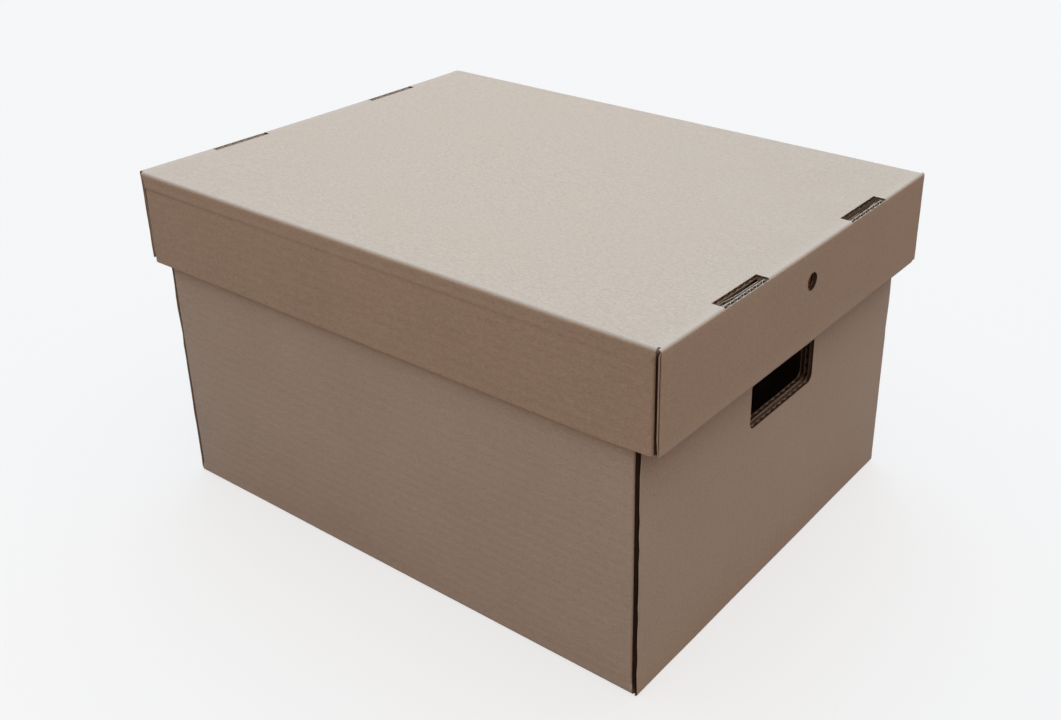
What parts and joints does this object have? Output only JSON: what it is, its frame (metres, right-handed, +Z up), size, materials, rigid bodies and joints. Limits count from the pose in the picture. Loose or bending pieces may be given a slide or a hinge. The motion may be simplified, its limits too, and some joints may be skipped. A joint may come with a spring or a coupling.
{
  "type": "archival box",
  "caption": "Folded kraft corrugated storage box: roll-end tray with a hand hole in each end, and a lift-off lid with lock tabs in slots and a small round hole in each end.",
  "frame": {"origin": "middle of the base's underside, where the box stands", "axes": "+Z up, X along the box between its hand-hole ends, Y across it"},
  "size_m": [0.406, 0.303, 0.223],
  "materials": {
    "base_board": "uncoated kraft liner over corrugated medium",
    "lid_board": "uncoated kraft liner over corrugated medium"
  },
  "bodies": {
    "base": {"base_back_wall": "base_board", "base_end_wall_left": "base_board", "base_end_wall_right": "base_board", "base_flap_back_left": "base_board", "base_flap_back_right": "base_board", "base_flap_front_left": "base_board", "base_flap_front_right": "base_board", "base_floor": "base_board", "base_front_wall": "base_board", "base_inner_end_left": "base_board", "base_inner_end_right": "base_board", "base_lock_tab_back_left": "base_board", "base_lock_tab_back_right": "base_board", "base_lock_tab_front_left": "base_board", "base_lock_tab_front_right": "base_board", "base_rim_left": "base_board", "base_rim_right": "base_board"},
    "lid": {"lid_back_skirt": "lid_board", "lid_end_skirt_left": "lid_board", "lid_end_skirt_right": "lid_board", "lid_flap_back_left": "lid_board", "lid_flap_back_right": "lid_board", "lid_flap_front_left": "lid_board", "lid_flap_front_right": "lid_board", "lid_front_skirt": "lid_board", "lid_inner_skirt_left": "lid_board", "lid_inner_skirt_right": "lid_board", "lid_lock_tab_back_left": "lid_board", "lid_lock_tab_back_right": "lid_board", "lid_lock_tab_front_left": "lid_board", "lid_lock_tab_front_right": "lid_board", "lid_rim_left": "lid_board", "lid_rim_right": "lid_board", "lid_top": "lid_board"}
  },
  "joints": [
    {"name": "lid_lift", "type": "slide", "parent": "base", "child": "lid", "axis": [0, 0, 1], "range_m": [0, 0.12]}
  ]
}
